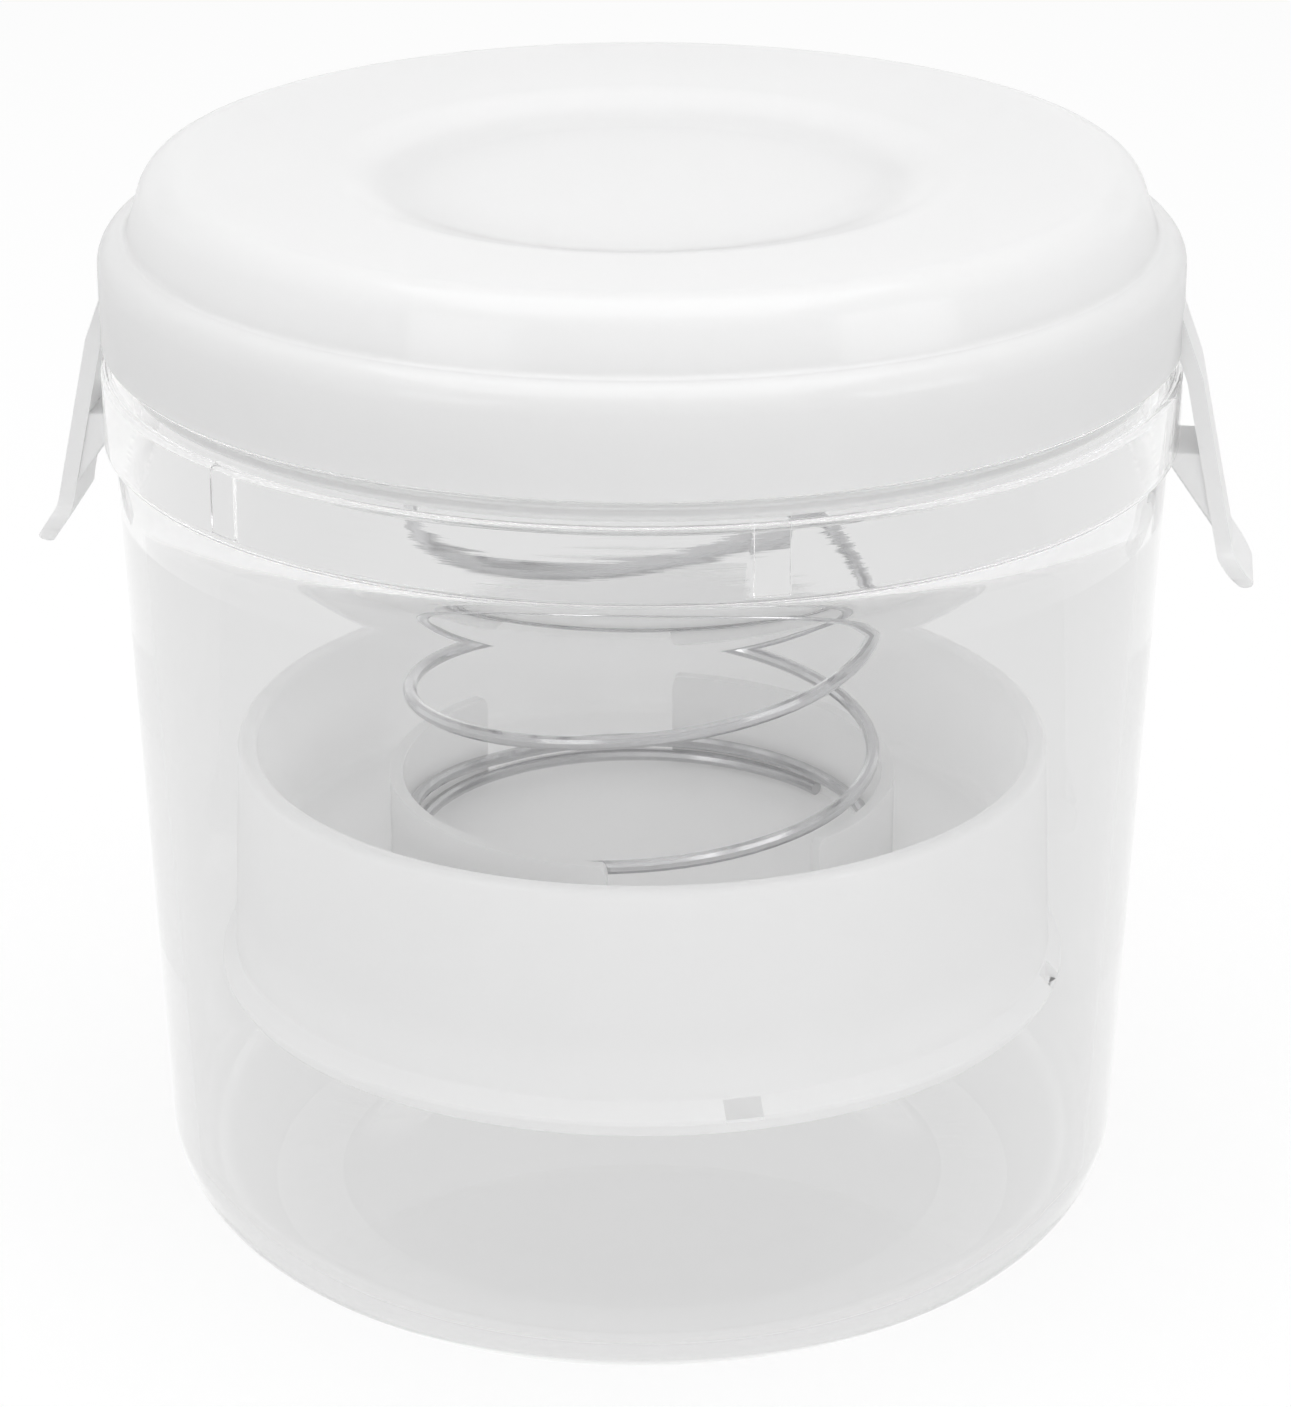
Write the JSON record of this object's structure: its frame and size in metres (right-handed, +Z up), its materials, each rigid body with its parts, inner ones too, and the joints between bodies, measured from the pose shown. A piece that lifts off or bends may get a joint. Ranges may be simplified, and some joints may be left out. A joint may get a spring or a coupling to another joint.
{
  "type": "fermentation jar",
  "caption": "Round clear fermentation jar with a white latched lid and a spring-loaded press plate hanging inside.",
  "frame": {"origin": "centre of the jar's base, on the plane it stands on", "axes": "+Z up along the jar's axis, +X towards the right latch, -Y towards the front"},
  "size_m": [0.1838, 0.1604, 0.1665],
  "materials": {
    "clear_plastic": "clear, polished",
    "lid_plastic": "semi-gloss white",
    "plate_plastic": "satin white",
    "latch_plastic": "semi-gloss white",
    "spring_steel": "bright drawn wire",
    "silicone": "matt, translucent"
  },
  "bodies": {
    "jar": {"jar_body": "clear_plastic"},
    "lid": {"lid": "lid_plastic", "lid_gasket": "silicone", "press_spring": "spring_steel"},
    "press": {"press_plate": "plate_plastic"},
    "latch_right": {"latch_right": "latch_plastic"},
    "latch_left": {"latch_left": "latch_plastic"}
  },
  "joints": [
    {"name": "lid_lift", "type": "slide", "parent": "jar", "child": "lid", "axis": [0, 0, 1], "range_m": [0, 0.135]},
    {"name": "press_travel", "type": "slide", "parent": "lid", "child": "press", "axis": [0, 0, 1], "range_m": [0, 0.055], "stiffness_N_per_m": 150, "springref_m": 0.0056, "deforming": ["press_spring"]},
    {"name": "latch_right_swing", "type": "hinge", "parent": "lid", "child": "latch_right", "pos_m": [0.0787, 0, 0.1457], "axis": [0, -1, 0], "range_deg": [0, 75]},
    {"name": "latch_left_swing", "type": "hinge", "parent": "lid", "child": "latch_left", "pos_m": [-0.0787, 0, 0.1457], "axis": [0, 1, 0], "range_deg": [0, 75]}
  ]
}
